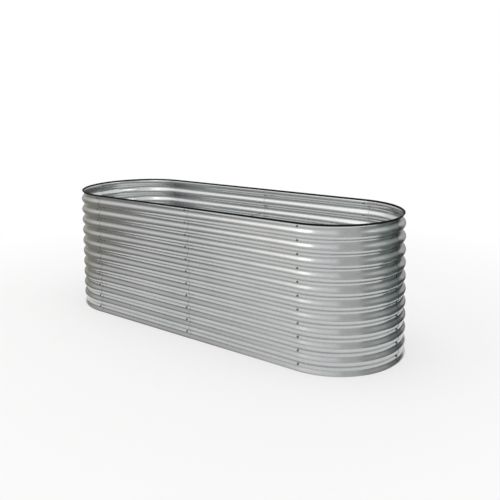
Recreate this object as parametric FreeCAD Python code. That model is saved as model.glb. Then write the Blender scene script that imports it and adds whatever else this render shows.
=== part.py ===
import FreeCAD, Part

import math
import os
from collections import namedtuple

# Raised garden bed, open at the top and the bottom.
#
# The wall is a stadium in plan: two straight sides and two half-round ends. It is bolted together from
# eight corrugated sheets, four straight ones and four quarter-round ones, which lap at eight seams.
# Each seam has one bolt in every valley of the corrugation. Two tie rods hold the long sides together:
# each is screwed into coupling nuts, which sit on seam bolts in place of their nuts. A rubber channel in
# four lengths covers the cut edge at the top.
#
# Frame: millimetres, origin on the ground at the middle of the bed, +X along the bed, +Z up. The front
# is the side at -Y.

# --- driving dimensions ---------------------------------------------------------------------------

SEAM_SPACING = 788.0  # a straight sheet from seam to seam, along the bed
END_RADIUS = 394.0  # plan radius of the half-round ends, at the middle of the wave
PITCH = 74.0  # one wave of the corrugation, up the wall
WAVE_DEPTH = 16.0  # crest to valley
WAVE_BEND = 24.0  # bend radius of the sheet at each crest and valley
SHEET = 0.7  # thickness of the sheet
SHEET_HEIGHT = 793.0
LOWEST_VALLEY = 32.0  # height of the lowest row of bolts
ROWS = 11  # valleys, and so bolts, up a seam
LAP = 30.0  # sheet beyond the bolts, on both sides of a seam
END_LAP = 10.0  # the same at the middle of an end
NEST = 1.0  # how far the outer sheet of a lap stands out from the inner one

HOLE_RADIUS = 3.5
SEAT_GAP = 0.06  # play between a flat washer or head and the rounded sheet
THREAD_PLAY = 0.05

BOLT_RADIUS = 3.0
BOLT_LENGTH = 13.0
HEAD_RADIUS = 6.0
HEAD_HEIGHT = 3.4
HEAD_RIM = 0.9  # straight edge below the dome of the head
SOCKET_FLATS = 4.0
SOCKET_DEPTH = 1.9
TIP_CHAMFER = 0.6  # on the ends of bolts and rods
NUT_FLATS = 10.0
NUT_HEIGHT = 5.0
WASHER_RADIUS = 6.0
WASHER_THICKNESS = 1.2
WASHER_BORE = 3.25

ROD_RADIUS = 3.0
ROD_ROWS = (3, 8)  # valleys with a tie rod at the middle seams, counted from the bottom
COUPLING_LENGTH = 18.0
TIP_GAP = 0.5  # between the bolt's tip and the rod's end inside a coupling nut

TRIM_WALL = 1.8
TRIM_WEB = 2.4  # rubber above the sheet's edge
TRIM_GRIP = 10.0  # how far the channel reaches down over the sheet
TRIM_ROUNDING = 2.0
TRIM_PLAY = 0.12
TRIM_JOINT = 3.0  # open gap between two lengths
TRIM_JOINT_BACK = 455.0  # x of the joint on the back
TRIM_JOINT_FRONT = -16.0  # x of the joint on the front
TRIM_JOINT_END = -34.0  # plan angle of the joint on the right end, from +X

# --- worked out -----------------------------------------------------------------------------------

AMPLITUDE = WAVE_DEPTH / 2
HALF_PITCH = PITCH / 2
CENTRE_OFFSET = 2 * WAVE_BEND - WAVE_DEPTH  # between the centres of a valley's arc and a crest's arc
FLANK_ANGLE = math.asin(2 * WAVE_BEND / math.hypot(HALF_PITCH, CENTRE_OFFSET)) - math.atan2(
    CENTRE_OFFSET, HALF_PITCH
)  # lean of the straight flank from the vertical

# Every sheet has a nesting level, which counts steps of NEST from the middle of the lap stack. Two
# neighbours are always one step apart, and a quarter-round sheet lies outside a straight one.
LEVEL = {
    "panel_front_right": -1,
    "panel_front_left": 0,
    "corner_front_left": 1,
    "corner_back_left": 0,
    "panel_back_left": -1,
    "panel_back_right": 0,
    "corner_back_right": 1,
    "corner_front_right": 0,
}
LEVEL_RANGE = max(LEVEL.values()) - min(LEVEL.values())

# A seam: where its line of bolts stands in plan, which way its outside faces, in degrees from +X, and
# the mean level of its two sheets.
Seam = namedtuple("Seam", "name x y facing level")
SEAMS = [
    Seam("front_middle_seam", 0, -END_RADIUS, -90, -0.5),
    Seam("front_right_seam", SEAM_SPACING, -END_RADIUS, -90, -0.5),
    Seam("right_end_seam", SEAM_SPACING + END_RADIUS, 0, 0, 0.5),
    Seam("back_right_seam", SEAM_SPACING, END_RADIUS, 90, 0.5),
    Seam("back_middle_seam", 0, END_RADIUS, 90, -0.5),
    Seam("back_left_seam", -SEAM_SPACING, END_RADIUS, 90, -0.5),
    Seam("left_end_seam", -SEAM_SPACING - END_RADIUS, 0, 180, 0.5),
    Seam("front_left_seam", -SEAM_SPACING, -END_RADIUS, -90, 0.5),
]
ROD_SEAMS = [seam for seam in SEAMS if "middle" in seam.name]

ORIGIN = FreeCAD.Vector(0, 0, 0)
UP = FreeCAD.Vector(0, 0, 1)
OUTWARD = FreeCAD.Vector(1, 0, 0)


def valley_height(row):
    """Height of a valley of the corrugation, counted from 0 at the bottom."""
    return LOWEST_VALLEY + row * PITCH


# --- corrugated sheets ----------------------------------------------------------------------------


def wave(height, face):
    """How far out a face of the sheet is at a height, from the middle of the wave.

    face is the distance of that face from the middle of the sheet, positive outwards.
    """
    above_valley = (height - LOWEST_VALLEY) % PITCH
    above_valley = min(above_valley, PITCH - above_valley)
    below_crest = HALF_PITCH - above_valley
    valley_bend = WAVE_BEND - face
    crest_bend = WAVE_BEND + face
    if above_valley < valley_bend * math.sin(FLANK_ANGLE):
        return WAVE_BEND - AMPLITUDE - math.sqrt(valley_bend**2 - above_valley**2)
    if below_crest < crest_bend * math.sin(FLANK_ANGLE):
        return AMPLITUDE - WAVE_BEND + math.sqrt(crest_bend**2 - below_crest**2)
    middle_of_flank = HALF_PITCH / 2
    return (above_valley - middle_of_flank) * math.tan(FLANK_ANGLE) + face / math.cos(FLANK_ANGLE)


def wave_edges(radius, face):
    """Edges of one face of the sheet from bottom to top, in the plane x = 0 with the outside at -Y."""

    def point(height):
        return FreeCAD.Vector(0, -radius - wave(height, face), height)

    valley_half = (WAVE_BEND - face) * math.sin(FLANK_ANGLE)
    crest_half = (WAVE_BEND + face) * math.sin(FLANK_ANGLE)
    bends = []
    for row in range(-1, ROWS + 1):
        valley = valley_height(row)
        bends.append((valley - valley_half, valley + valley_half))
        bends.append((valley + HALF_PITCH - crest_half, valley + HALF_PITCH + crest_half))
    edges = []
    height = 0.0
    for low, high in bends:
        low = min(max(low, 0.0), SHEET_HEIGHT)
        high = min(max(high, 0.0), SHEET_HEIGHT)
        if low > height:
            edges.append(Part.LineSegment(point(height), point(low)).toShape())
        if high > low:
            edges.append(Part.Arc(point(low), point((low + high) / 2), point(high)).toShape())
        height = max(height, high)
    return edges


def sheet_section(radius):
    """Face of the sheet's cross-section, in the plane x = 0."""
    outside = wave_edges(radius, SHEET / 2)
    inside = wave_edges(radius, -SHEET / 2)
    foot = Part.LineSegment(inside[0].Vertexes[0].Point, outside[0].Vertexes[0].Point).toShape()
    head = Part.LineSegment(inside[-1].Vertexes[-1].Point, outside[-1].Vertexes[-1].Point).toShape()
    return Part.Face(Part.Wire(Part.__sortEdges__(outside + inside + [foot, head])))


def sweep_section(section, straight, turn):
    """Sweeps a section at x = 0 both ways: straight to -X, and through turn degrees round the Z axis."""
    along = section.extrude(FreeCAD.Vector(-straight, 0, 0))
    around = section.revolve(ORIGIN, UP, turn)
    return along.fuse(around).removeSplitter()


def drill(shape, x, y, facing):
    """Drills a column of bolt holes through a sheet, one in every valley."""
    reach = 3 * WAVE_DEPTH
    direction = FreeCAD.Vector(math.cos(math.radians(facing)), math.sin(math.radians(facing)), 0)
    holes = []
    for row in range(ROWS):
        start = FreeCAD.Vector(x, y, valley_height(row)) - direction * (reach / 2)
        holes.append(Part.makeCylinder(HOLE_RADIUS, reach, start, direction))
    return shape.cut(Part.makeCompound(holes))


def straight_sheet(level):
    """The front right straight sheet, with its right seam at x = 0: other quarters mirror it."""
    section = sheet_section(END_RADIUS + level * NEST)
    shape = sweep_section(section, SEAM_SPACING + LAP, math.degrees(LAP / END_RADIUS))
    shape = drill(shape, 0, -END_RADIUS, -90)
    return drill(shape, -SEAM_SPACING, -END_RADIUS, -90)


def quarter_round_sheet(level):
    """The front right quarter-round sheet, centred on the Z axis: other quarters mirror it."""
    section = sheet_section(END_RADIUS + level * NEST)
    shape = sweep_section(section, LAP, 90 + math.degrees(END_LAP / END_RADIUS))
    shape = drill(shape, 0, -END_RADIUS, -90)
    return drill(shape, END_RADIUS, 0, 0)


def into_quarter(shape, name):
    """Moves a front right shape to its end of the bed, and mirrors it into the quarter its name gives."""
    placed = shape.translated(FreeCAD.Vector(SEAM_SPACING, 0, 0))
    if "left" in name:
        placed = placed.mirror(ORIGIN, FreeCAD.Vector(1, 0, 0))
    if "back" in name:
        placed = placed.mirror(ORIGIN, FreeCAD.Vector(0, 1, 0))
    return placed


def sheets():
    """All eight corrugated sheets, by node name."""
    made = {}
    for name, level in LEVEL.items():
        build = straight_sheet if name.startswith("panel") else quarter_round_sheet
        made[name] = into_quarter(build(level), name)
    return made


# --- fasteners ------------------------------------------------------------------------------------
#
# A fastener is made about the X axis with its outer end to +X. Its x = 0 is halfway through the two
# lapped sheets, at the bottom of the valley.

GRIP = (NEST + SHEET) / 2  # from there to the outer face of the outer sheet, and to the inner face


def seat_in_valley(radius):
    """Where a flat round face of this radius comes to rest in the hollow of the outer sheet."""
    bend = WAVE_BEND - SHEET / 2
    return GRIP + bend - math.sqrt(bend**2 - radius**2) + SEAT_GAP


BOLT_SEAT = seat_in_valley(HEAD_RADIUS)
BOLT_TIP = BOLT_SEAT - BOLT_LENGTH
INNER_SEAT = -GRIP - SEAT_GAP  # flat washers inside the bed rest on the rounded back of the valley
NUT_TOP = INNER_SEAT - WASHER_THICKNESS  # the end of a nut that faces the wall


def hexagon(flats, start, length):
    """Hexagonal bar about the X axis with two flats level."""
    corner = flats / math.sqrt(3)
    points = []
    for side in range(7):
        angle = math.radians(60 * side)
        points.append(FreeCAD.Vector(start, corner * math.cos(angle), corner * math.sin(angle)))
    return Part.Face(Part.makePolygon(points)).extrude(OUTWARD * length)


def rod(radius, start, length):
    """Round bar about the X axis."""
    return Part.makeCylinder(radius, length, OUTWARD * start, OUTWARD)


def ring(outer, bore, start, thickness):
    """Flat washer about the X axis."""
    return rod(outer, start, thickness).cut(rod(bore, start, thickness))


def chamfered_nut(flats, bore, start, height):
    """Hexagon nut, its corners turned off at both ends, with a plain bore."""
    corner = flats / math.sqrt(3)
    slant = corner - flats / 2 + 0.1
    outline = [
        FreeCAD.Vector(start, 0, 0),
        FreeCAD.Vector(start, corner - slant, 0),
        FreeCAD.Vector(start + slant / 2, corner, 0),
        FreeCAD.Vector(start + height - slant / 2, corner, 0),
        FreeCAD.Vector(start + height, corner - slant, 0),
        FreeCAD.Vector(start + height, 0, 0),
        FreeCAD.Vector(start, 0, 0),
    ]
    turned = Part.Face(Part.makePolygon(outline)).revolve(ORIGIN, OUTWARD, 360)
    return hexagon(flats, start, height).common(turned).cut(rod(bore, start, height))


def dome(radius, start, rim, height):
    """Round head about the X axis: a straight rim, then part of a ball."""
    rise = height - rim
    ball = (radius**2 + rise**2) / (2 * rise)
    half_turn = math.atan2(radius, ball - rise) / 2
    foot = FreeCAD.Vector(start, 0, 0)
    corner = FreeCAD.Vector(start, radius, 0)
    edge = FreeCAD.Vector(start + rim, radius, 0)
    top = FreeCAD.Vector(start + height, 0, 0)
    centre = start + height - ball
    shoulder = FreeCAD.Vector(centre + ball * math.cos(half_turn), ball * math.sin(half_turn), 0)
    edges = [
        Part.LineSegment(foot, corner).toShape(),
        Part.LineSegment(corner, edge).toShape(),
        Part.Arc(edge, shoulder, top).toShape(),
        Part.LineSegment(top, foot).toShape(),
    ]
    return Part.Face(Part.Wire(edges)).revolve(ORIGIN, OUTWARD, 360)


def seam_bolt():
    """Round-headed bolt with a hexagon socket, its head in the valley outside the bed."""
    head = dome(HEAD_RADIUS, BOLT_SEAT, HEAD_RIM, HEAD_HEIGHT)
    socket = hexagon(SOCKET_FLATS, BOLT_SEAT + HEAD_HEIGHT - SOCKET_DEPTH, HEAD_HEIGHT)
    shank = rod(BOLT_RADIUS, BOLT_TIP, BOLT_LENGTH)
    tip = [edge for edge in shank.Edges if edge.BoundBox.XMax < BOLT_TIP + 0.01]
    return head.cut(socket).fuse(shank.makeChamfer(TIP_CHAMFER, tip)).removeSplitter()


def seam_washer():
    """Flat washer under the nut, inside the bed."""
    return ring(WASHER_RADIUS, WASHER_BORE, NUT_TOP, WASHER_THICKNESS)


def seam_nut():
    """Hexagon nut inside the bed."""
    return chamfered_nut(NUT_FLATS, BOLT_RADIUS + THREAD_PLAY, NUT_TOP - NUT_HEIGHT, NUT_HEIGHT)


def at_seam(shape, seam, row):
    """A copy of a fastener in one valley of a seam."""
    turn = FreeCAD.Rotation(UP, seam.facing)
    outward = turn.multVec(OUTWARD)
    base = FreeCAD.Vector(seam.x, seam.y, valley_height(row))
    copy = shape.copy()
    copy.Placement = FreeCAD.Placement(base + outward * (seam.level * NEST - AMPLITUDE), turn)
    return copy


def seam_fasteners():
    """Bolts, washers and nuts of each seam, one group of solids for each kind."""
    kinds = {"bolts": seam_bolt(), "washers": seam_washer(), "nuts": seam_nut()}
    made = {}
    for seam in SEAMS:
        for kind, shape in kinds.items():
            coupled = ROD_ROWS if kind == "nuts" and seam in ROD_SEAMS else ()
            rows = [row for row in range(ROWS) if row not in coupled]
            made[f"{seam.name}_{kind}"] = Part.makeCompound([at_seam(shape, seam, row) for row in rows])
    return made


# --- tie rods -------------------------------------------------------------------------------------

COUPLING_START = NUT_TOP - COUPLING_LENGTH


def tie_rod(row):
    """Rod across the bed, its ends screwed into the coupling nuts at the front and back walls."""
    front, back = ROD_SEAMS
    valley = END_RADIUS - AMPLITUDE
    end = BOLT_TIP - TIP_GAP
    start = FreeCAD.Vector(0, -(valley + front.level * NEST + end), valley_height(row))
    length = 2 * valley + (front.level + back.level) * NEST + 2 * end
    shaft = Part.makeCylinder(ROD_RADIUS, length, start, FreeCAD.Vector(0, 1, 0))
    return shaft.makeChamfer(TIP_CHAMFER, [edge for edge in shaft.Edges if edge.BoundBox.YLength < 0.01])


def tie_rods():
    """Both tie rods, with the coupling nut and the lock nut at each end."""
    bore = ROD_RADIUS + THREAD_PLAY
    kinds = {
        "tie_rod_couplings": chamfered_nut(NUT_FLATS, bore, COUPLING_START, COUPLING_LENGTH),
        "tie_rod_lock_nuts": chamfered_nut(NUT_FLATS, bore, COUPLING_START - NUT_HEIGHT, NUT_HEIGHT),
    }
    lower, upper = ROD_ROWS
    made = {"tie_rod_lower": tie_rod(lower), "tie_rod_upper": tie_rod(upper)}
    for name, shape in kinds.items():
        ends = [at_seam(shape, seam, row) for seam in ROD_SEAMS for row in ROD_ROWS]
        made[name] = Part.makeCompound(ends)
    return made


# --- edge trim ------------------------------------------------------------------------------------
#
# The sheet ends on the outward-leaning flank above its highest valley, so the channel leans with it.


def trim_section():
    """Face of the rubber channel's cross-section in the plane x = 0, with the outside at -Y."""
    lean = FreeCAD.Vector(0, -math.sin(FLANK_ANGLE), math.cos(FLANK_ANGLE))  # up along the flank
    across = FreeCAD.Vector(0, -math.cos(FLANK_ANGLE), -math.sin(FLANK_ANGLE))  # out of the flank
    stack = (LEVEL_RANGE * NEST * math.cos(FLANK_ANGLE) + SHEET) / 2
    slot = stack + TRIM_PLAY
    side = slot + TRIM_WALL
    highest = END_RADIUS + LEVEL_RANGE / 2 * NEST + wave(SHEET_HEIGHT, SHEET / 2)
    middle = END_RADIUS + wave(SHEET_HEIGHT, 0)
    base = FreeCAD.Vector(0, -middle, SHEET_HEIGHT)
    roof = (highest - middle) * math.sin(FLANK_ANGLE)
    top = roof + TRIM_WEB
    foot = roof - TRIM_GRIP

    def point(out, up):
        return base + across * out + lean * up

    def rounded(centre_out, turn_from):
        """Quarter circle over a top corner, from one angle in degrees anticlockwise by 90."""
        points = []
        for angle in (turn_from, turn_from + 45, turn_from + 90):
            out = centre_out + TRIM_ROUNDING * math.cos(math.radians(angle))
            up = top - TRIM_ROUNDING + TRIM_ROUNDING * math.sin(math.radians(angle))
            points.append(point(out, up))
        return Part.Arc(*points).toShape()

    def line(start, end):
        return Part.LineSegment(point(*start), point(*end)).toShape()

    shoulder = top - TRIM_ROUNDING
    edges = [
        line((slot, foot), (side, foot)),
        line((side, foot), (side, shoulder)),
        rounded(side - TRIM_ROUNDING, 0),
        line((side - TRIM_ROUNDING, top), (TRIM_ROUNDING - side, top)),
        rounded(TRIM_ROUNDING - side, 90),
        line((-side, shoulder), (-side, foot)),
        line((-side, foot), (-slot, foot)),
        line((-slot, foot), (-slot, roof)),
        line((-slot, roof), (slot, roof)),
        line((slot, roof), (slot, foot)),
    ]
    return Part.Face(Part.Wire(edges))


def trim_bend(start, end):
    """Channel round the right end from one plan angle to a greater one, in degrees from +X."""
    section = trim_section()
    section.rotate(ORIGIN, UP, 90 + start)
    bend = section.revolve(ORIGIN, UP, end - start)
    return bend.translated(FreeCAD.Vector(SEAM_SPACING, 0, 0))


def trim_run(start, end):
    """Channel along the front from one x to a greater one."""
    section = trim_section().translated(FreeCAD.Vector(start, 0, 0))
    return section.extrude(FreeCAD.Vector(end - start, 0, 0))


def behind(shape):
    """A front shape turned half round, to the back and to the other end."""
    turned = shape.copy()
    turned.rotate(ORIGIN, UP, 180)
    return turned


def edge_trim():
    """The four lengths of rubber channel, with an open joint at each meeting."""
    gap = TRIM_JOINT / 2
    gap_angle = math.degrees(gap / END_RADIUS)
    front_joint = TRIM_JOINT_FRONT
    back_joint = -TRIM_JOINT_BACK  # on the front before it is turned to the back
    right_end = trim_bend(-90, TRIM_JOINT_END - gap_angle)
    right_end_rear = trim_bend(TRIM_JOINT_END + gap_angle, 90)
    return {
        "edge_trim_back": behind(trim_run(back_joint + gap, SEAM_SPACING - gap)),
        "edge_trim_right_rear": behind(trim_run(-SEAM_SPACING, back_joint - gap)).fuse(right_end_rear),
        "edge_trim_right_front": trim_run(front_joint + gap, SEAM_SPACING).fuse(right_end),
        "edge_trim_left": trim_run(-SEAM_SPACING, front_joint - gap).fuse(
            behind(trim_bend(gap_angle - 90, 90))
        ),
    }


# --- build ----------------------------------------------------------------------------------------


def main():
    """Builds every node and writes one file for each."""
    os.makedirs("parts", exist_ok=True)
    nodes = {**sheets(), **seam_fasteners(), **tie_rods(), **edge_trim()}
    for name, shape in nodes.items():
        if not shape.isValid():
            raise ValueError(f"{name} is not a valid shape")
        shape.exportStep(f"parts/{name}.step")
        box = shape.BoundBox
        print(
            f"{name}: {len(shape.Solids)} solids, {shape.Volume / 1000:.1f} cm3, "
            f"x {box.XMin:.1f} to {box.XMax:.1f}, y {box.YMin:.1f} to {box.YMax:.1f}, "
            f"z {box.ZMin:.1f} to {box.ZMax:.1f}"
        )


main()
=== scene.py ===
"""Raised garden bed, dressed: corrugated galvanised sheets, bolts, tie rods and a rubber edge channel.

Metres, in the frame of the solids: origin on the ground at the middle of the bed, +X along the bed, +Z up,
the front at -Y.
"""

from __future__ import annotations

import logging
import math
from contextlib import contextmanager
from dataclasses import dataclass, field
from enum import Enum
from typing import Callable, Iterator, Sequence

import bmesh
import bpy
from mathutils import Matrix, Vector

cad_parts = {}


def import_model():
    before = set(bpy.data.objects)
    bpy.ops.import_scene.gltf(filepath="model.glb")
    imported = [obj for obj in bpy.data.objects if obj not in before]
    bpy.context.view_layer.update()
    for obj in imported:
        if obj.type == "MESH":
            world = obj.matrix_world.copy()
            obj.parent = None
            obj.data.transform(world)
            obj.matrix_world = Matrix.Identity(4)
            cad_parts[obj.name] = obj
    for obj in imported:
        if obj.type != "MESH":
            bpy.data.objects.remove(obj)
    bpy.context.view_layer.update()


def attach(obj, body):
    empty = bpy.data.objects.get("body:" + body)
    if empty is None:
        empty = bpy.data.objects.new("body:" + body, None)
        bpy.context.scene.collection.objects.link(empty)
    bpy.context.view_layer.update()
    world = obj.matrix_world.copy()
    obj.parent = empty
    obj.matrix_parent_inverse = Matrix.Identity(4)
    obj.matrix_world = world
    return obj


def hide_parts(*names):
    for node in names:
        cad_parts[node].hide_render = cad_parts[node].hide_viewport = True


LOG = logging.getLogger("garden_bed")

Piece = bpy.types.Object
Material = bpy.types.Material
Socket = bpy.types.NodeSocket

UP = Vector((0.0, 0.0, 1.0))
ORIGIN = Vector((0.0, 0.0, 0.0))
ALONG = Vector((1.0, 0.0, 0.0))


# --- modelling tools --------------------------------------------------------------------------------


class Pick(Enum):
    """What is selected in edit mode."""

    VERTS = "VERT"
    EDGES = "EDGE"


def pick_alone(*pieces: Piece) -> None:
    """Selects pieces and nothing else, and makes the first of them active."""
    bpy.ops.object.select_all(action="DESELECT")
    for piece in pieces:
        piece.select_set(True)
    bpy.context.view_layer.objects.active = pieces[0]


@contextmanager
def editing(piece: Piece) -> Iterator[None]:
    """Opens one piece alone in edit mode, and closes it again.

    Args:
        piece: The mesh object to edit.
    """
    pick_alone(piece)
    bpy.ops.object.mode_set(mode="EDIT")
    yield
    bpy.ops.object.mode_set(mode="OBJECT")


def take_all(kind: Pick | None = None) -> None:
    """Selects the whole mesh being edited, after a change to another kind of selection if one is given."""
    if kind is not None:
        bpy.ops.mesh.select_mode(type=kind.value)
    bpy.ops.mesh.select_all(action="SELECT")


def take_open_edges(piece: Piece, test: Callable[[Vector], bool]) -> None:
    """Selects the edges of the mesh being edited that have one face and pass a test.

    Args:
        piece: The mesh object in edit mode.
        test: Takes the middle of an edge, and says whether it is taken.
    """
    bpy.ops.mesh.select_mode(type=Pick.EDGES.value)
    bpy.ops.mesh.select_all(action="DESELECT")
    mesh = bmesh.from_edit_mesh(piece.data)
    for edge in mesh.edges:
        start, end = (vertex.co for vertex in edge.verts)
        if len(edge.link_faces) == 1 and test((start + end) / 2):
            edge.select_set(True)
    bmesh.update_edit_mesh(piece.data)


def begin_at(name: str, place: Vector) -> Piece:
    """Starts a mesh as one selected vertex, a small plane merged to its middle.

    Args:
        name: Name of the new object.
        place: Where the vertex stands.

    Returns:
        The new object, at the origin.
    """
    bpy.ops.object.select_all(action="DESELECT")
    bpy.ops.mesh.primitive_plane_add(size=0.001, location=place)
    piece = bpy.context.object
    piece.name = name
    piece.data.name = name
    bpy.ops.object.transform_apply(location=True, rotation=True, scale=True)
    with editing(piece):
        take_all()
        bpy.ops.mesh.merge(type="CENTER")
    return piece


def draw_on(move: Vector) -> None:
    """Extrudes what is selected by one move."""
    bpy.ops.mesh.extrude_region_move(TRANSFORM_OT_translate={"value": move})


def sweep_round(degrees: float, steps: int, centre: Vector, axis: Vector) -> None:
    """Spins what is selected, anticlockwise seen from the tip of the axis.

    Args:
        degrees: How far, negative for clockwise.
        steps: Number of steps.
        centre: A point on the axis.
        axis: Direction of the axis.
    """
    bpy.ops.mesh.spin(steps=steps, angle=-math.radians(degrees), center=centre, axis=axis)


def draw_through(name: str, points: Sequence[Vector]) -> Piece:
    """Draws a line of edges through points.

    Args:
        name: Name of the new object.
        points: The points in order.

    Returns:
        The new object, at the origin.
    """
    piece = begin_at(name, points[0])
    with editing(piece):
        take_all(Pick.VERTS)
        for start, end in zip(points, points[1:]):
            draw_on(end - start)
    return piece


def weld(distance: float = 1e-6) -> None:
    """Merges the doubles of the mesh being edited and turns its faces outwards."""
    take_all(Pick.VERTS)
    bpy.ops.mesh.remove_doubles(threshold=distance)
    bpy.ops.mesh.normals_make_consistent(inside=False)


def lathe(name: str, outline: Sequence[tuple[float, float]], steps: int) -> Piece:
    """Turns an outline about the X axis into a closed body.

    Args:
        name: Name of the new object.
        outline: Points as (along X, radius), in order.
        steps: Steps round the axis.

    Returns:
        The new object, at the origin.
    """
    piece = draw_through(name, [Vector((x, 0.0, radius)) for x, radius in outline])
    with editing(piece):
        take_all()
        sweep_round(360.0, steps, ORIGIN, ALONG)
        weld()
    return piece


def cut_flats(piece: Piece, flats: float) -> None:
    """Cuts six flats on a turned body, two of them level, as on a hexagon nut.

    Args:
        piece: Body about the X axis.
        flats: Width across the flats.
    """
    with editing(piece):
        for side in range(6):
            angle = math.radians(60 * side + 30)
            out = Vector((0.0, math.cos(angle), math.sin(angle)))
            take_all()
            bpy.ops.mesh.bisect(
                plane_co=out * (flats / 2), plane_no=out, use_fill=True, clear_outer=True, threshold=1e-7
            )
        weld()


def smooth(piece: Piece, degrees: float) -> None:
    """Shades a piece smooth, with hard edges where its faces meet more sharply than an angle."""
    pick_alone(piece)
    bpy.ops.object.shade_smooth_by_angle(angle=math.radians(degrees))


def copies(master: Piece, name: str, places: Sequence[Matrix]) -> Piece:
    """Sets copies of a master in their places and joins them to one piece.

    Args:
        master: The part that repeats, modelled about the X axis.
        name: Name of the new piece.
        places: Where each copy stands.

    Returns:
        The new piece, at the origin.
    """
    made = []
    for place in places:
        copy = master.copy()
        copy.data = master.data.copy()
        bpy.context.scene.collection.objects.link(copy)
        copy.matrix_world = place
        made.append(copy)
    pick_alone(*made)
    bpy.ops.object.transform_apply(location=True, rotation=True, scale=True)
    bpy.ops.object.join()
    piece = bpy.context.object
    piece.name = name
    piece.data.name = name
    return piece


def scrap(piece: Piece) -> None:
    """Removes a master once its copies stand."""
    mesh = piece.data
    bpy.data.objects.remove(piece)
    bpy.data.meshes.remove(mesh)


# --- finishes ---------------------------------------------------------------------------------------


def linear(code: str) -> tuple[float, float, float, float]:
    """Turns an sRGB hex colour to the linear colour that a shader takes.

    Args:
        code: Colour as #RRGGBB.

    Returns:
        Red, green, blue and alpha.
    """
    parts = [int(code[i : i + 2], 16) / 255 for i in (1, 3, 5)]
    red, green, blue = [c / 12.92 if c <= 0.04045 else ((c + 0.055) / 1.055) ** 2.4 for c in parts]
    return red, green, blue, 1.0


@dataclass(frozen=True)
class Nodes:
    """A node tree in the making. Each pattern gives the socket that carries it."""

    tree: bpy.types.NodeTree

    def add(self, kind: str, inputs: dict | None = None, **settings: object) -> bpy.types.Node:
        """Adds one node with its settings, values and links.

        Args:
            kind: Blender's name of the node's type.
            inputs: What goes into each input, by name or number: a socket to link, or a value.
            settings: Properties of the node.

        Returns:
            The new node.
        """
        node = self.tree.nodes.new(kind)
        for name, value in settings.items():
            setattr(node, name, value)
        for key, value in (inputs or {}).items():
            if isinstance(value, Socket):
                self.tree.links.new(value, node.inputs[key])
            else:
                node.inputs[key].default_value = value
        return node

    def place(self) -> Socket:
        """Where a point is, in the piece's own metres."""
        return self.add("ShaderNodeTexCoord").outputs["Object"]

    def noise(self, place: Socket, spacing: float, detail: float, roughness: float) -> Socket:
        """A noise pattern of a real spacing in metres."""
        values = {"Vector": place, "Scale": 1 / spacing, "Detail": detail, "Roughness": roughness}
        return self.add("ShaderNodeTexNoise", values).outputs["Fac"]

    def lines_along(self, length: float, spacing: float, roughness: float) -> Socket:
        """Fine lines that run along the wall, of a real length and spacing in metres."""
        run = self.add("ShaderNodeUVMap", uv_map="along_the_wall").outputs["UV"]
        stretch = {"Vector": run, "Scale": (1 / length, 1 / spacing, 1.0)}
        place = self.add("ShaderNodeMapping", stretch).outputs["Vector"]
        values = {"Vector": place, "Scale": 1.0, "Detail": 2.0, "Roughness": roughness}
        return self.add("ShaderNodeTexNoise", values, noise_dimensions="2D").outputs["Fac"]

    def work_out(self, operation: str, *values: Socket | float) -> Socket:
        """What an operation, by Blender's name, makes of its values."""
        return self.add("ShaderNodeMath", dict(enumerate(values)), operation=operation).outputs["Value"]

    def spread(
        self, value: Socket, low: float, high: float, start: float = 0.0, end: float = 1.0, **settings: object
    ) -> Socket:
        """Maps what lies from low to high to what lies from start to end."""
        values = {"Value": value, "From Min": low, "From Max": high, "To Min": start, "To Max": end}
        return self.add("ShaderNodeMapRange", values, **settings).outputs["Result"]

    def between(self, share: Socket, low: str, high: str) -> Socket:
        """A colour between two sRGB colours."""
        values = {0: share, 6: linear(low), 7: linear(high)}
        return self.add("ShaderNodeMix", values, data_type="RGBA").outputs[2]

    def relief(self, height: Socket, strength: float, depth: float, under: Socket | None = None) -> Socket:
        """The normal of a pattern in relief, over other relief where there is some."""
        values = {"Height": height, "Strength": strength, "Distance": depth}
        if under is not None:
            values["Normal"] = under
        return self.add("ShaderNodeBump", values).outputs["Normal"]

    def coat(self, values: dict) -> None:
        """Ends the tree in one principled coat."""
        shader = self.add("ShaderNodeBsdfPrincipled", values)
        self.add("ShaderNodeOutputMaterial", {"Surface": shader.outputs["BSDF"]})

    def seen(self) -> Socket:
        """1 for what the camera sees, straight or in a reflection, and 0 for light."""
        rays = self.add("ShaderNodeLightPath").outputs
        seen = self.work_out("MAXIMUM", rays["Is Camera Ray"], rays["Is Glossy Ray"])
        return self.work_out("MAXIMUM", seen, rays["Is Transmission Ray"])

    def blend(self, output: str, share: Socket, low: Socket, high: Socket) -> None:
        """Ends the tree in a blend of two shaders."""
        mixed = self.add("ShaderNodeMixShader", {0: share, 1: low, 2: high})
        self.add(output, {"Surface": mixed.outputs["Shader"]})


def blank_material(name: str) -> tuple[Material, Nodes]:
    """A new material with an empty node tree."""
    material = bpy.data.materials.new(name)
    material.use_nodes = True
    material.node_tree.nodes.clear()
    return material, Nodes(material.node_tree)


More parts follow.
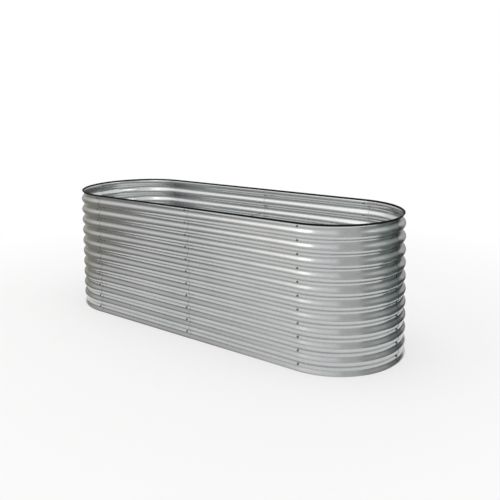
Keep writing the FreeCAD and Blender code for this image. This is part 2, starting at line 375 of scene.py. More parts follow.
@dataclass(frozen=True)
class GalvanisedSheet:
    """Hot-dip galvanised, roll-formed steel sheet.

    The zinc freezes in crystals, the spangle, whose facets catch the light a little differently. The
    forming rolls burnish it in faint lines along the corrugation.
    """

    zinc_light: str = "#CFD1D1"
    zinc_dark: str = "#C3C5C6"
    spangle: float = 0.011  # real crystals are 3 to 8 mm across, drawn coarser so that they show
    roll_line: float = 0.0035  # spacing of the lines along the corrugation
    roll_length: float = 0.9
    cloud: float = 0.22  # patches of duller and brighter zinc
    roughness_low: float = 0.21
    roughness_high: float = 0.26
    facet_tone: float = 0.3  # how much a crystal's tone counts beside the patches
    facet_dullness: float = 0.1  # the same for its roughness
    line_tone: float = 0.35  # how much the lines' tone counts
    line_depth: float = 0.00006
    cloud_depth: float = 0.0010  # the sheet is never quite flat

    def build(self) -> Material:
        """The sheet's material."""
        material, nodes = blank_material("galvanised_steel_sheet")
        place = nodes.place()
        spangle = {"Vector": place, "Scale": 1 / self.spangle, "Randomness": 1.0}
        crystal = nodes.add("ShaderNodeTexVoronoi", spangle, voronoi_dimensions="3D").outputs["Color"]
        facet = nodes.add("ShaderNodeSeparateColor", {"Color": crystal}).outputs
        cloud = nodes.noise(place, self.cloud, 3.0, 0.55)
        lines = nodes.lines_along(self.roll_length, self.roll_line, 0.6)
        tone = nodes.work_out("MULTIPLY_ADD", facet["Red"], self.facet_tone, cloud)
        tone = nodes.work_out("MULTIPLY_ADD", lines, self.line_tone, tone)
        colour = nodes.between(nodes.spread(tone, 0.4, 1.25), self.zinc_dark, self.zinc_light)
        dull = nodes.work_out("MULTIPLY_ADD", facet["Green"], self.facet_dullness, cloud)
        roughness = nodes.spread(dull, 0.4, 1.1, self.roughness_low, self.roughness_high)
        rolled = nodes.relief(lines, 0.15, self.line_depth)
        relief = nodes.relief(cloud, 0.4, self.cloud_depth, rolled)
        nodes.coat({"Base Color": colour, "Metallic": 1.0, "Roughness": roughness, "Normal": relief})
        return material


@dataclass(frozen=True)
class PlatedSteel:
    """Zinc-plated steel fastener: turned and pressed, then plated, with faint uneven dulling."""

    name: str
    bright: str
    dull: str
    grain: float  # spacing of the dulling
    roughness_low: float
    roughness_high: float

    def build(self) -> Material:
        """The fastener's material."""
        material, nodes = blank_material(self.name)
        grain = nodes.noise(nodes.place(), self.grain, 4.0, 0.6)
        colour = nodes.between(nodes.spread(grain, 0.3, 0.7), self.dull, self.bright)
        roughness = nodes.spread(grain, 0.3, 0.7, self.roughness_high, self.roughness_low)
        relief = nodes.relief(grain, 0.3, 0.0001)
        nodes.coat({"Base Color": colour, "Metallic": 1.0, "Roughness": roughness, "Normal": relief})
        return material


@dataclass(frozen=True)
class ExtrudedRubber:
    """Extruded black EPDM rubber: matt, with fine lines along it from the die and a little dust."""

    black: str = "#0B0C0D"
    dusty: str = "#151617"
    die_line: float = 0.0006  # spacing of the lines along it
    die_length: float = 0.5
    dust: float = 0.012
    roughness: float = 0.72

    def build(self) -> Material:
        """The channel's material."""
        material, nodes = blank_material("black_epdm_rubber")
        dust = nodes.noise(nodes.place(), self.dust, 5.0, 0.65)
        lines = nodes.lines_along(self.die_length, self.die_line, 0.5)
        colour = nodes.between(nodes.spread(dust, 0.35, 0.75), self.black, self.dusty)
        roughness = nodes.spread(dust, 0.0, 1.0, self.roughness - 0.08, self.roughness + 0.12)
        relief = nodes.relief(lines, 0.4, 0.0001)
        values = {"Base Color": colour, "Roughness": roughness, "Normal": relief}
        nodes.coat(values | {"IOR": 1.5, "Specular IOR Level": 0.2})
        return material


def plated(name: str, bright: str, dull: str, grain: float, low: float, high: float) -> Material:
    """A field that holds one plated finish, built when its owner is."""
    return field(default_factory=lambda: PlatedSteel(name, bright, dull, grain, low, high).build())


@dataclass
class Finishes:
    """The materials of the bed."""

    sheet: Material = field(default_factory=lambda: GalvanisedSheet().build())
    # Sheet cut edges, near black: partly the darker raw steel of a cut, mostly painted shadow of the gap
    # where two lapped sheets stand apart.
    lap_gap_shadow: Material = plated("sheet_edge_painted_gap_shadow", "#2E2D2C", "#1C1B1B", 0.006, 0.55, 0.7)
    bolt: Material = plated("dull_plated_steel_bolt", "#8B8E8F", "#5E6163", 0.004, 0.3, 0.5)
    nut: Material = plated("zinc_plated_steel_nut", "#B9BBBB", "#8C8F90", 0.003, 0.25, 0.42)
    washer: Material = plated("zinc_plated_washer", "#C4C6C6", "#A2A5A6", 0.005, 0.28, 0.45)
    rod: Material = plated("drawn_steel_rod", "#C0C2C2", "#9B9E9F", 0.012, 0.22, 0.38)
    rubber: Material = field(default_factory=lambda: ExtrudedRubber().build())


def finish_piece(
    piece: Piece,
    material: Material,
    slot: str,
    nodes: Sequence[str],
    *others: Material,
) -> Piece:
    """Dresses a piece and ties it to the frame.

    Args:
        piece: The finished mesh.
        material: Its finish.
        slot: The record's material slot; not used.
        nodes: The solids that it stands for.
        others: Finishes of the faces that carry a higher material number.

    Returns:
        The same piece.
    """
    for number, finish in enumerate((material, *others)):
        if number < len(piece.data.materials):
            piece.data.materials[number] = finish
        else:
            piece.data.materials.append(finish)
    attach(piece, "root")
    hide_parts(*nodes)
    LOG.info("%s: %d faces", piece.name, len(piece.data.polygons))
    return piece


# --- the bed ----------------------------------------------------------------------------------------


@dataclass(frozen=True)
class Bed:
    """Sizes that every sub-assembly shares."""

    seam_spacing: float = 0.788
    end_radius: float = 0.394  # at the middle of the wave
    pitch: float = 0.074
    wave_depth: float = 0.016
    wave_bend: float = 0.024
    sheet: float = 0.0007
    sheet_height: float = 0.793
    lowest_valley: float = 0.032
    rows: int = 11
    lap: float = 0.030  # sheet beyond the bolts
    end_lap: float = 0.010  # the same at the middle of an end
    nest: float = 0.0010  # how far the outer sheet of a lap stands out from the inner one

    @property
    def flank_angle(self) -> float:
        """Lean of the wave's straight flank from the vertical, in degrees."""
        between = 2 * self.wave_bend - self.wave_depth
        half_pitch = self.pitch / 2
        reach = math.hypot(half_pitch, between)
        return math.degrees(math.asin(2 * self.wave_bend / reach) - math.atan2(between, half_pitch))

    def valley(self, row: int) -> float:
        """Height of a valley of the wave, counted from 0 at the bottom."""
        return self.lowest_valley + row * self.pitch

    def along_wall(self, x: float, y: float) -> float:
        """Distance along the wall from the middle of the front or the back."""
        if abs(x) <= self.seam_spacing:
            return x
        turned = math.atan2(abs(x) - self.seam_spacing, abs(y))
        return math.copysign(self.seam_spacing + self.end_radius * turned, x)


BED = Bed()


def lay_out(piece: Piece, shift: float) -> None:
    """Gives a piece a UV map in metres: along the wall, and up it.

    Args:
        piece: The mesh.
        shift: Added along the wall, so that no two pieces repeat each other's pattern.
    """
    layer = piece.data.uv_layers.new(name="along_the_wall")
    for loop in piece.data.loops:
        place = piece.data.vertices[loop.vertex_index].co
        layer.data[loop.index].uv = (shift + BED.along_wall(place.x, place.y), place.z)


@dataclass
class CorrugatedWall:
    """The eight corrugated sheets.

    Every sheet has a nesting level, in steps outwards from the middle of the laps.
    """

    levels: dict[str, float] = field(
        default_factory=lambda: {
            "panel_front_right": -1.0,
            "panel_front_left": 0.0,
            "corner_front_left": 1.0,
            "corner_back_left": 0.0,
            "panel_back_left": -1.0,
            "panel_back_right": 0.0,
            "corner_back_right": 1.0,
            "corner_front_right": 0.0,
        }
    )
    bend_steps: int = 8  # round each crest and valley
    run_steps: int = 8  # along a straight sheet
    turn_steps: int = 44  # round a quarter
    pattern_shift: float = 3.1

    def wave(self) -> Piece:
        """Draws the middle of the sheet's section, from the ground up, at the front and at x = 0.

        Returns:
            The line of edges: arcs are spun and flanks extruded.
        """
        lean = BED.flank_angle
        depth = BED.wave_depth / 2
        flank_rise = BED.pitch / 2 - 2 * BED.wave_bend * math.sin(math.radians(lean))
        flank_out = flank_rise * math.tan(math.radians(lean))
        crest_middle = -(BED.end_radius + depth - BED.wave_bend)
        valley_middle = -(BED.end_radius - depth + BED.wave_bend)
        height = BED.lowest_valley - BED.pitch / 2
        line = begin_at("wave_section", Vector((0.0, -(BED.end_radius + depth), height)))
        with editing(line):
            take_all(Pick.VERTS)
            sweep_round(-lean, self.bend_steps // 2, Vector((0.0, crest_middle, height)), ALONG)
            for row in range(BED.rows):
                valley = BED.valley(row)
                draw_on(Vector((0.0, flank_out, flank_rise)))
                sweep_round(2 * lean, self.bend_steps, Vector((0.0, valley_middle, valley)), ALONG)
                draw_on(Vector((0.0, -flank_out, flank_rise)))
                crest = Vector((0.0, crest_middle, valley + BED.pitch / 2))
                sweep_round(-2 * lean, self.bend_steps, crest, ALONG)
            for level, outside in ((0.0, -UP), (BED.sheet_height, UP)):
                take_all()
                bpy.ops.mesh.bisect(
                    plane_co=(0.0, 0.0, level), plane_no=outside, clear_outer=True, threshold=1e-7
                )
            take_all()
            bpy.ops.mesh.remove_doubles(threshold=1e-6)
        return line

    def sweep(self, sheet: Piece, name: str) -> None:
        """Extrudes and spins the section along the plan of the front right quarter, then mirrors it.

        Args:
            sheet: The section, in its place at x = 0.
            name: The sheet's node, which says its kind and quarter.
        """
        straight = name.startswith("panel")
        start = -BED.lap if straight else BED.seam_spacing - BED.lap
        steps = self.run_steps if straight else 1
        beyond = BED.lap if straight else BED.end_lap
        turn = (0.0 if straight else 90.0) + math.degrees(beyond / BED.end_radius)
        turn_steps = 2 if straight else self.turn_steps
        with editing(sheet):
            take_all(Pick.EDGES)
            bpy.ops.transform.translate(value=(start, 0.0, 0.0))
            for _ in range(steps):
                draw_on(Vector(((BED.seam_spacing - start) / steps, 0.0, 0.0)))
            sweep_round(turn, turn_steps, Vector((BED.seam_spacing, 0.0, 0.0)), UP)
            mirror = (-1.0 if "left" in name else 1.0, -1.0 if "back" in name else 1.0, 1.0)
            take_all()
            bpy.ops.transform.resize(value=mirror, center_override=(0.0, 0.0, 0.0))
            weld()
        face = max(sheet.data.polygons, key=lambda f: abs(f.normal.y) * f.area)
        if face.normal.y * face.center.y < 0:
            with editing(sheet):
                take_all()
                bpy.ops.mesh.flip_normals()

    def thicken(self, sheet: Piece) -> None:
        """Gives the swept section the sheet's thickness, half to each side.

        Two material slots stand open for it, so that the cut edges carry the second one, which paints the
        shadow of the laps' gaps on them.
        """
        for _ in ("faces", "cut edges"):
            sheet.data.materials.append(None)
        wall = sheet.modifiers.new("sheet_thickness", "SOLIDIFY")
        wall.thickness = BED.sheet
        wall.offset = 0.0
        wall.use_even_offset = True
        wall.material_offset_rim = 1
        pick_alone(sheet)
        bpy.ops.object.modifier_apply(modifier=wall.name)

    def build(self, finishes: Finishes) -> None:
        """Builds and dresses the sheets."""
        section = self.wave()
        for index, (name, level) in enumerate(self.levels.items()):
            sheet = copies(section, f"sheet_{name}", [Matrix.Translation((0.0, -level * BED.nest, 0.0))])
            self.sweep(sheet, name)
            self.thicken(sheet)
            lay_out(sheet, self.pattern_shift * index)
            smooth(sheet, 35.0)
            # The cut edges get the near-black finish, painted shadow of the gaps at the laps.
            finish_piece(sheet, finishes.sheet, "corrugated_sheet", [name], finishes.lap_gap_shadow)
        scrap(section)


@dataclass(frozen=True)
class Seam:
    """A line of bolts up the wall."""

    name: str
    x: float
    y: float
    facing: float  # degrees from +X
    level: float  # mean nesting level of its two sheets

    def place(self, row: int) -> Matrix:
        """Where a fastener stands in one valley, its +X turned outwards.

        Args:
            row: The valley, counted from 0 at the bottom.

        Returns:
            The matrix from a fastener's own frame, with x = 0 halfway through the lap.
        """
        outward = Matrix.Rotation(math.radians(self.facing), 4, "Z")
        step = self.level * BED.nest - BED.wave_depth / 2
        base = Vector((self.x, self.y, BED.valley(row))) + outward @ Vector((step, 0.0, 0.0))
        return Matrix.Translation(base) @ outward


SEAMS = [
    Seam("front_middle_seam", 0.0, -BED.end_radius, -90.0, -0.5),
    Seam("front_right_seam", BED.seam_spacing, -BED.end_radius, -90.0, -0.5),
    Seam("right_end_seam", BED.seam_spacing + BED.end_radius, 0.0, 0.0, 0.5),
    Seam("back_right_seam", BED.seam_spacing, BED.end_radius, 90.0, 0.5),
    Seam("back_middle_seam", 0.0, BED.end_radius, 90.0, -0.5),
    Seam("back_left_seam", -BED.seam_spacing, BED.end_radius, 90.0, -0.5),
    Seam("left_end_seam", -BED.seam_spacing - BED.end_radius, 0.0, 180.0, 0.5),
    Seam("front_left_seam", -BED.seam_spacing, -BED.end_radius, -90.0, 0.5),
]
ROD_ROWS = (3, 8)
ROD_SEAMS = [seam for seam in SEAMS if "middle" in seam.name]

GRIP = (BED.nest + BED.sheet) / 2  # from halfway through a lap to its faces
SEAT_GAP = 0.00006  # play where one part rests on another
INNER_SEAT = -GRIP - SEAT_GAP


def seat_in_valley(radius: float) -> float:
    """Where a flat round face of this radius rests in the hollow of the outer sheet."""
    bend = BED.wave_bend - BED.sheet / 2
    return GRIP + bend - math.sqrt(bend**2 - radius**2) + SEAT_GAP


def thread(start: float, end: float, radius: float, pitch: float) -> list[tuple[float, float]]:
    """Outline of a thread as rings.

    Args:
        start: Where it begins, along X.
        end: Where it ends, along X.
        radius: Over the crests.
        pitch: From crest to crest.

    Returns:
        Points (along X, radius).
    """
    turns = max(1, round(abs(end - start) / pitch))
    step = (end - start) / turns
    root = radius - 0.55 * pitch
    root_at, crest_at = 0.1, 0.6  # shares of a turn
    points = []
    for turn in range(turns):
        points.append((start + step * (turn + root_at), root))
        points.append((start + step * (turn + crest_at), radius))
    return points


def dome_points(
    radius: float, start: float, rim: float, height: float, inner: float, steps: int
) -> list[tuple[float, float]]:
    """Outline of a round head from its rim to an inner radius.

    Args:
        radius: Radius of the head.
        start: Where the head's flat underside is, along X.
        rim: Height of the straight edge.
        height: Height of the whole head.
        inner: Radius at which the outline ends.
        steps: Steps over the dome.

    Returns:
        Points (along X, radius).
    """
    rise = height - rim
    ball = (radius**2 + rise**2) / (2 * rise)
    widest = math.asin(min(1.0, radius / ball))
    narrowest = math.asin(inner / ball)
    centre = start + height - ball
    points = []
    for step in range(steps + 1):
        turn = widest + (narrowest - widest) * step / steps
        points.append((centre + ball * math.cos(turn), ball * math.sin(turn)))
    return points


@dataclass
class SeamFasteners:
    """Bolts outside, washers and nuts inside, in every valley of every seam."""

    bolt_radius: float = 0.003
    bolt_length: float = 0.013
    thread_pitch: float = 0.001
    head_radius: float = 0.006
    head_height: float = 0.0034
    head_rim: float = 0.0009
    socket_flats: float = 0.004
    socket_depth: float = 0.0019
    nut_flats: float = 0.010
    nut_height: float = 0.005
    washer_radius: float = 0.006
    washer_thickness: float = 0.0012
    washer_bore: float = 0.00325
    soft: float = 0.00025  # softened edges of heads and washers
    steps: int = 16

    def bolt(self) -> Piece:
        """Round-headed bolt with a hexagon socket."""
        seat = seat_in_valley(self.head_radius)
        tip = seat - self.bolt_length
        top = seat + self.head_height
        mouth = self.socket_flats / math.sqrt(3) + 0.0003
        outline = [(tip, 0.0), (tip, self.bolt_radius - 0.0007)]
        outline += thread(tip + 0.0004, INNER_SEAT - 0.004, self.bolt_radius, self.thread_pitch)
        outline += [
            (INNER_SEAT - 0.003, self.bolt_radius),
            (seat, self.bolt_radius),
            (seat, self.head_radius - self.soft),
            (seat + self.soft, self.head_radius),
        ]
        outline += dome_points(self.head_radius, seat, self.head_rim, self.head_height, mouth, 4)
        bolt = lathe("bolt_master", outline, self.steps)
        rim_at = outline[-1][0]
        floor_at = top - self.socket_depth
        with editing(bolt):
            bpy.ops.mesh.select_all(action="DESELECT")
            bpy.ops.mesh.primitive_circle_add(
                vertices=6,
                radius=self.socket_flats / math.sqrt(3),
                fill_type="NGON",
                location=(floor_at, 0.0, 0.0),
                rotation=(0.0, math.radians(90.0), 0.0),
            )
            draw_on(Vector((rim_at - 0.0002 - floor_at, 0.0, 0.0)))
            bpy.ops.mesh.delete(type="ONLY_FACE")
            take_open_edges(
                bolt,
                lambda middle: middle.x > rim_at - 0.0003 and math.hypot(*middle.yz) < mouth + 0.0001,
            )
            bpy.ops.mesh.bridge_edge_loops()
            weld()
        return bolt

    def washer(self) -> Piece:
        """Flat punched washer with a softened outer edge."""
        low = INNER_SEAT - self.washer_thickness
        outline = [
            (low, self.washer_bore),
            (low, self.washer_radius - self.soft),
            (low + self.soft, self.washer_radius),
            (INNER_SEAT - self.soft, self.washer_radius),
            (INNER_SEAT, self.washer_radius - self.soft),
            (INNER_SEAT, self.washer_bore),
            (low, self.washer_bore),
        ]
        return lathe("washer_master", outline, self.steps)

    def nut(self) -> Piece:
        """Hexagon nut with its corners turned off."""
        high = INNER_SEAT - self.washer_thickness
        return hexagon_nut("nut_master", self.nut_flats, self.bolt_radius, high - self.nut_height, high)

    def build(self, finishes: Finishes) -> None:
        """Builds and dresses the fasteners of every seam."""
        kinds = [
            ("bolts", self.bolt(), finishes.bolt, "bolt_steel"),
            ("washers", self.washer(), finishes.washer, "washer_zinc"),
            ("nuts", self.nut(), finishes.nut, "nut_zinc"),
        ]
        for kind, master, material, slot in kinds:
            for seam in SEAMS:
                coupled = ROD_ROWS if kind == "nuts" and seam in ROD_SEAMS else ()
                rows = [row for row in range(BED.rows) if row not in coupled]
                group = copies(master, f"{kind}_{seam.name}", [seam.place(row) for row in rows])
                smooth(group, 30.0)
                finish_piece(group, material, slot, [f"{seam.name}_{kind}"])
            scrap(master)


def hexagon_nut(name: str, flats: float, bore: float, low: float, high: float) -> Piece:
    """Hexagon nut about the X axis, turned and then cut to its six flats.

    Args:
        name: Name of the new object.
        flats: Width across the flats.
        bore: Radius of the bolt in it.
        low: Its inner end, along X.
        high: Its outer end, along X.

    Returns:
        The new object.
    """
    corner = flats / math.sqrt(3)
    face = flats / 2 * 0.95  # radius of the flat end, a little inside the flats
    slant = (corner - face) * 0.55  # how far the corners are turned off
    lead = 0.0004  # chamfer of the bore
    bored = bore + 0.00005
    turning_steps = 24
    outline = [
        (low + lead, bored),
        (low, bore + lead),
        (low, face),
        (low + slant, corner),
        (high - slant, corner),
        (high, face),
        (high, bore + lead),
        (high - lead, bored),
        (low + lead, bored),
    ]
    nut = lathe(name, outline, turning_steps)
    cut_flats(nut, flats)
    return nut


@dataclass
class TieRods:
    """Two rods across the middle of the bed, screwed into coupling nuts on the seam bolts."""

    radius: float = 0.003
    thread_pitch: float = 0.001
    thread_length: float = 0.045
    tip_gap: float = 0.0005  # between the bolt's tip and the rod's end
    chamfer: float = 0.0006  # on the rod's ends
    waist: float = 0.0002  # how much thinner the rod is between its threads
    nut_flats: float = 0.010
    nut_height: float = 0.005
    coupling_length: float = 0.018
    steps: int = 20

    def rod(self, row: int, bolt_tip: float) -> Piece:
        """One rod with its threaded ends.

        Args:
            row: The valley that it crosses at, counted from 0 at the bottom.
            bolt_tip: Where a seam bolt ends, along its own X.

        Returns:
            The rod, along Y.
        """
        front, back = ROD_SEAMS
        valley = BED.end_radius - BED.wave_depth / 2
        reach_front = valley + front.level * BED.nest + bolt_tip - self.tip_gap
        reach_back = valley + back.level * BED.nest + bolt_tip - self.tip_gap
        plain = self.radius - self.waist
        point = self.radius - self.chamfer
        run_out = self.thread_length + self.thread_pitch
        threads = [
            (-reach_back + self.chamfer, -reach_back + self.thread_length),
            (reach_front - self.thread_length, reach_front - self.chamfer),
        ]
        back_thread, front_thread = [thread(*ends, self.radius, self.thread_pitch) for ends in threads]
        outline = [(-reach_back, 0.0), (-reach_back, point)]
        outline += back_thread
        outline += [(-reach_back + run_out, plain), (reach_front - run_out, plain)]
        outline += front_thread
        outline += [(reach_front, point), (reach_front, 0.0)]
        master = lathe("rod_master", outline, self.steps)
        place = Matrix.Translation((0.0, 0.0, BED.valley(row))) @ Matrix.Rotation(math.radians(-90.0), 4, "Z")
        rod = copies(master, "rod_lower" if row == ROD_ROWS[0] else "rod_upper", [place])
        scrap(master)
        return rod

    def build(self, finishes: Finishes, fasteners: SeamFasteners) -> None:
        """Builds and dresses both rods, and the nuts at their ends.

        Args:
            finishes: The materials.
            fasteners: The seam fasteners that the rods are held by.
        """
        ends = [seam.place(row) for seam in ROD_SEAMS for row in ROD_ROWS]
        wall_end = INNER_SEAT - fasteners.washer_thickness
        inner_end = wall_end - self.coupling_length
        nuts = {
            "couplings": (inner_end, wall_end),
            "lock_nuts": (inner_end - self.nut_height, inner_end),
        }
        for kind, (low, high) in nuts.items():
            master = hexagon_nut("rod_nut_master", self.nut_flats, self.radius, low, high)
            group = copies(master, f"rod_{kind}", ends)
            smooth(group, 30.0)
            finish_piece(group, finishes.nut, "nut_zinc", [f"tie_rod_{kind}"])
            scrap(master)
        bolt_tip = seat_in_valley(fasteners.head_radius) - fasteners.bolt_length
        for row, node in zip(ROD_ROWS, ("tie_rod_lower", "tie_rod_upper")):
            rod = self.rod(row, bolt_tip)
            smooth(rod, 50.0)
            finish_piece(rod, finishes.rod, "rod_steel", [node])


@dataclass(frozen=True)
class Leg:
    """One leg of a length of channel: a straight run, or a turn round an end of the bed."""

    run: float = 0.0  # metres along X
    turn: float = 0.0  # degrees, anticlockwise from above
    steps: int = 8


@dataclass
class EdgeTrim:
    """The black rubber channel pushed over the cut edge, in four lengths."""

    wall: float = 0.0018
    web: float = 0.0024
    grip: float = 0.0100
    rounding: float = 0.0020
    play: float = 0.00012
    lip_rounding: float = 0.0006
    joint: float = 0.003
    joint_back: float = 0.455
    joint_front: float = -0.016
    joint_end: float = -34.0
    level_range: float = 2.0  # nesting levels that it reaches over
    pattern_shift: float = 2.7

    def section(self, x: float, facing: float) -> list[Vector]:
        """Points round the channel's section.

        Args:
            x: Where the section's middle of turning stands, on the X axis.
            facing: Which way its outside faces, in degrees from +X.

        Returns:
            The points, the last one the same as the first.
        """
        lean = math.radians(BED.flank_angle)
        out = Vector((math.cos(math.radians(facing)), math.sin(math.radians(facing)), 0.0))
        along = out * math.sin(lean) + UP * math.cos(lean)
        across = out * math.cos(lean) - UP * math.sin(lean)
        row = BED.rows - 1
        above = BED.sheet_height - BED.valley(row)
        middle = BED.end_radius + (above - BED.pitch / 4) * math.tan(lean)
        highest = self.level_range / 2 * BED.nest + BED.sheet / 2 / math.cos(lean)
        roof = highest * math.sin(lean)
        slot = (self.level_range * BED.nest * math.cos(lean) + BED.sheet) / 2 + self.play
        side = slot + self.wall
        top = roof + self.web
        foot = roof - self.grip
        base = Vector((x, 0.0, BED.sheet_height)) + out * middle
        points = []

        def corner(centre: tuple[float, float], radius: float, start: float, end: float, steps: int) -> None:
            for step in range(steps + 1):
                angle = math.radians(start + (end - start) * step / steps)
                points.append((centre[0] + radius * math.cos(angle), centre[1] + radius * math.sin(angle)))

        lip = self.lip_rounding
        points.append((slot, foot + lip))
        corner((slot + lip, foot + lip), lip, 180.0, 270.0, 2)
        corner((side - lip, foot + lip), lip, 270.0, 360.0, 2)
        corner((side - self.rounding, top - self.rounding), self.rounding, 0.0, 90.0, 5)
        corner((self.rounding - side, top - self.rounding), self.rounding, 90.0, 180.0, 5)
        corner((lip - side, foot + lip), lip, 180.0, 270.0, 2)
        corner((-slot - lip, foot + lip), lip, 270.0, 360.0, 2)
        points.append((-slot, roof))
        points.append((slot, roof))
        points.append((slot, foot + lip))
        return [base + across * a + along * b for a, b in points]

    def length(self, name: str, x: float, facing: float, legs: Sequence[Leg]) -> Piece:
        """Builds one length of channel.

        Args:
            name: Name of the new piece.
            x: Where it starts: x on a straight side, or the x of the end's middle.
            facing: Which way its outside faces there, in degrees from +X.
            legs: The runs and turns that it follows.

        Returns:
            The new piece.
        """
        channel = draw_through(name, self.section(x, facing))
        with editing(channel):
            take_all()
            bpy.ops.mesh.remove_doubles(threshold=1e-7)
            take_all(Pick.EDGES)
            for leg in legs:
                if leg.run:
                    for _ in range(leg.steps):
                        draw_on(Vector((leg.run / leg.steps, 0.0, 0.0)))
                    x += leg.run
                else:
                    centre = Vector((math.copysign(BED.seam_spacing, x), 0.0, 0.0))
                    sweep_round(leg.turn, leg.steps, centre, UP)
            bpy.ops.mesh.edge_face_add()
            bpy.ops.mesh.select_all(action="DESELECT")
            bpy.ops.mesh.select_mode(type="EDGE")
            bpy.ops.mesh.select_non_manifold(extend=False)
            bpy.ops.mesh.edge_face_add()
            weld()
        return channel

    def build(self, finishes: Finishes) -> None:
        """Builds and dresses the four lengths."""
        gap = self.joint / 2
        gap_turn = math.degrees(gap / BED.end_radius)
        spacing = BED.seam_spacing
        front_right_run = spacing - (self.joint_front + gap)
        lengths = {
            "edge_trim_back": (
                self.joint_back - gap,
                90.0,
                [Leg(run=-(self.joint_back + spacing) + 2 * gap)],
            ),
            "edge_trim_right_rear": (
                spacing,
                self.joint_end + gap_turn,
                [
                    Leg(turn=90.0 - self.joint_end - gap_turn, steps=60),
                    Leg(run=-(spacing - self.joint_back - gap), steps=4),
                ],
            ),
            "edge_trim_right_front": (
                self.joint_front + gap,
                -90.0,
                [Leg(run=front_right_run), Leg(turn=90.0 + self.joint_end - gap_turn, steps=28)],
            ),
            "edge_trim_left": (
                self.joint_front - gap,
                -90.0,
                [Leg(run=-(spacing + self.joint_front - gap)), Leg(turn=-(180.0 - gap_turn), steps=88)],
            ),
        }
        for index, (node, (x, facing, legs)) in enumerate(lengths.items()):
            channel = self.length(node.replace("edge_trim", "rubber_channel"), x, facing, legs)
            lay_out(channel, self.pattern_shift * index)
            smooth(channel, 40.0)
            finish_piece(channel, finishes.rubber, "edge_rubber", [node])


# --- studio -----------------------------------------------------------------------------------------


@dataclass(frozen=True)
class Softbox:
    """A soft area lamp aimed at the bed."""

    name: str
    azimuth: float  # degrees from +X, as seen from the bed
    elevation: float
    distance: float
    width: float
    height: float
    radiance: float  # brightness of its surface, where 1 is white
    colour: str = "#FFFFFF"

    def build(self) -> None:
        """Adds the lamp."""
        turn = math.radians(self.azimuth)
        rise = math.radians(self.elevation)
        aim = Vector((0.0, 0.0, 0.4))
        out = Vector((math.cos(turn) * math.cos(rise), math.sin(turn) * math.cos(rise), math.sin(rise)))
        bpy.ops.object.light_add(type="AREA", location=aim + out * self.distance)
        lamp = bpy.context.object
        lamp.name = self.name
        lamp.rotation_euler = out.to_track_quat("Z", "Y").to_euler()
        lamp.data.shape = "RECTANGLE"
        lamp.data.size = self.width
        lamp.data.size_y = self.height
        lamp.data.energy = self.radiance * math.pi * self.width * self.height
        lamp.data.color = linear(self.colour)[:3]
        lamp.visible_camera = False


@dataclass(frozen=True)
class GlowingPanel:
    """A glowing panel standing round the bed, out of the camera's sight, that the metal reflects: its glow is
    painted light in place of a lit cloth.
    """

    name: str
    start: float  # degrees from +X, as seen from the bed
    end: float
    # low and high are colours of glow, painted light: darker along the floor, brighter at the top.
    low: str  # its colour along the floor
    high: str  # its colour at the top
    rim: float  # how high it reaches, in degrees above the bed's middle
    inner: float = 2.6  # where it begins on the floor

    def glow_material(self, top: float) -> Material:
        """The panel's glowing material, painted light that shades from its low colour to its high one.

        Args:
            top: How high the panel reaches, in metres.
        """
        material, nodes = blank_material(f"studio_cloth_{self.name}")
        height = nodes.add("ShaderNodeSeparateXYZ", {"Vector": nodes.place()}).outputs["Z"]
        colour = nodes.between(nodes.spread(height, 0.6, top), self.low, self.high)
        glow = nodes.add("ShaderNodeEmission", {"Color": colour, "Strength": 1.0})
        nodes.add("ShaderNodeOutputMaterial", {"Surface": glow.outputs["Emission"]})
        material.cycles.emission_sampling = "NONE"
        return material

    def build(self) -> None:
        """Adds the glowing panel: along the floor, then up."""
        far = 6.5
        step = 8.0  # degrees
        top = 0.5 + far * math.tan(math.radians(self.rim))
        turn = Matrix.Rotation(math.radians(self.start), 3, "Z")
        outline = [(self.inner, 0.01), (3.5, 0.06), (far - 1.5, 0.4), (far - 0.4, 1.0), (far, top)]
        glowing_panel = draw_through(self.name, [turn @ Vector((r, 0.0, z)) for r, z in outline])
        with editing(glowing_panel):
            take_all()
            sweep_round(self.end - self.start, max(2, round((self.end - self.start) / step)), ORIGIN, UP)
        glowing_panel.data.materials.append(self.glow_material(top))
        glowing_panel.visible_camera = False
        glowing_panel.visible_diffuse = False
        glowing_panel.visible_shadow = False
        glowing_panel.visible_transmission = False


WHITE = (1.0, 1.0, 1.0, 1.0)


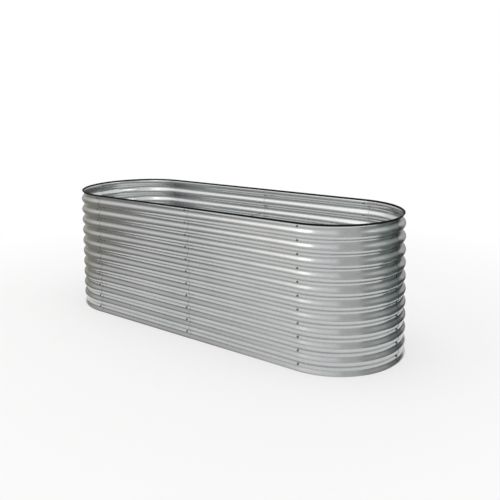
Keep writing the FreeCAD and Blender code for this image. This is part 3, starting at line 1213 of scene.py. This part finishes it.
@dataclass
class Studio:
    """Pale floor, white surround, soft lamps and the camera."""

    lens: float = 44.24
    shift_x: float = -0.01
    shift_y: float = -0.21
    place: Vector = field(default_factory=lambda: Vector((2.4662, -3.0387, 1.4739)))
    yaw: float = -0.63169
    pitch: float = 0.08829
    roll: float = -0.012484
    fade_start: float = 1.4  # where the floor begins to fade into white, from the middle of the bed
    fade_end: float = 3.4
    floor_glow: float = 0.56  # how much of that white the floor has at the bed
    surround: float = 0.80  # light from the white surround on all but metal
    # The glowing panels' tones and the first lamp's strength are what a least-squares fit to the photograph
    # gave. The other lamps' strengths were changed from what it gave.
    softboxes: tuple[Softbox, ...] = (
        Softbox("lamp_front_left", -138.0, 53.0, 5.0, 5.0, 2.0, 0.45, "#FFF9EC"),
        Softbox("lamp_above", 0.0, 90.0, 4.5, 3.0, 1.4, 1.6),
        Softbox("lamp_bend", -104.0, 54.0, 4.8, 1.6, 0.9, 1.2),
        Softbox("lamp_right", 20.0, 46.0, 5.0, 1.6, 1.0, 1.1),
    )
    # Glowing panels seen only in reflections: painted light, darker low down, that shapes the bands in the
    # metal.
    glowing_panels: tuple[GlowingPanel, ...] = (
        GlowingPanel("far_left", -180.0, -150.0, "#959288", "#FAF8F5", 33.0, 1.3),
        GlowingPanel("left", -150.0, -140.0, "#8C8B88", "#F2F0F0", 37.0, 1.5),
        GlowingPanel("front_left", -140.0, -120.0, "#888885", "#EAE9E9", 41.0, 1.9),
        GlowingPanel("front", -120.0, -98.0, "#C7C4BF", "#FFFFFF", 46.0),
        GlowingPanel("front_middle", -98.0, -75.0, "#D0CECD", "#FFFFFF", 51.0),
        GlowingPanel("front_right", -75.0, -45.0, "#D1D0D0", "#FFFFFF", 60.0),
        GlowingPanel("right_front", -45.0, -15.0, "#C8C9C8", "#BBBAB6", 66.0, 2.0),
        GlowingPanel("right", -15.0, 8.0, "#989C9A", "#D1CDC9", 60.0, 2.0),
        GlowingPanel("right_rear", 8.0, 30.0, "#6D7676", "#E8E4E0", 42.0, 1.5),
        GlowingPanel("back_right", 30.0, 60.0, "#4E5350", "#AFB2B1", 32.0, 1.5),
        GlowingPanel("back", 60.0, 180.0, "#B1AFAC", "#FFFFFF", 32.0, 1.4),
    )

    def camera(self) -> None:
        """Sets the camera at the photograph's view."""
        flat = math.cos(self.pitch)
        forward = Vector((math.sin(self.yaw) * flat, math.cos(self.yaw) * flat, -math.sin(self.pitch)))
        level = Vector((math.cos(self.yaw), -math.sin(self.yaw), 0.0))
        upward = level.cross(forward)
        right = level * math.cos(self.roll) + upward * math.sin(self.roll)
        upward = upward * math.cos(self.roll) - level * math.sin(self.roll)
        turned = Matrix((right, upward, -forward)).transposed().to_4x4()
        bpy.ops.object.camera_add()
        camera = bpy.context.object
        camera.name = "camera"
        camera.matrix_world = Matrix.Translation(self.place) @ turned
        camera.data.sensor_width = 36.0
        camera.data.lens = self.lens
        camera.data.shift_x = self.shift_x
        camera.data.shift_y = self.shift_y
        bpy.context.scene.camera = camera

    def world(self) -> None:
        """White surround for what the camera and reflections see, and softer light from it for the rest."""
        world = bpy.data.worlds.new("white_surround")
        world.use_nodes = True
        world.cycles.sampling_method = "NONE"
        nodes = Nodes(world.node_tree)
        nodes.tree.nodes.clear()
        light, white = (
            nodes.add("ShaderNodeBackground", {"Color": WHITE, "Strength": strength}).outputs["Background"]
            for strength in (self.surround, 1.0)
        )
        nodes.blend("ShaderNodeOutputWorld", nodes.seen(), light, white)
        bpy.context.scene.world = world

    def floor(self) -> None:
        """Plain white floor, which fades into the white surround away from the bed."""
        bpy.ops.object.select_all(action="DESELECT")
        bpy.ops.mesh.primitive_plane_add(size=60.0)
        floor = bpy.context.object
        floor.name = "floor"
        material, nodes = blank_material("matt_white_floor")
        paint = nodes.add("ShaderNodeBsdfPrincipled", {"Base Color": linear("#FBFBFB"), "Roughness": 0.9})
        glow = nodes.add("ShaderNodeEmission", {"Color": WHITE, "Strength": 1.0}).outputs["Emission"]
        away = nodes.add("ShaderNodeVectorMath", {0: nodes.place()}, operation="LENGTH").outputs["Value"]
        fade = nodes.spread(
            away, self.fade_start, self.fade_end, self.floor_glow, interpolation_type="SMOOTHSTEP"
        )
        shown = nodes.work_out("MULTIPLY", fade, nodes.seen())
        nodes.blend("ShaderNodeOutputMaterial", shown, paint.outputs["BSDF"], glow)
        floor.data.materials.append(material)

    def build(self) -> None:
        """Sets the studio up."""
        self.camera()
        self.world()
        self.floor()
        for glowing_panel in self.glowing_panels:
            glowing_panel.build()
        for softbox in self.softboxes:
            softbox.build()
        bpy.context.scene.view_settings.view_transform = "Standard"


def main() -> None:
    """Loads the frame, builds every sub-assembly, and lights it."""
    logging.basicConfig(level=logging.INFO, format="%(name)s: %(message)s")
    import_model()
    finishes = Finishes()
    fasteners = SeamFasteners()
    CorrugatedWall().build(finishes)
    fasteners.build(finishes)
    TieRods().build(finishes, fasteners)
    EdgeTrim().build(finishes)
    Studio().build()


if __name__ == "__main__":
    main()
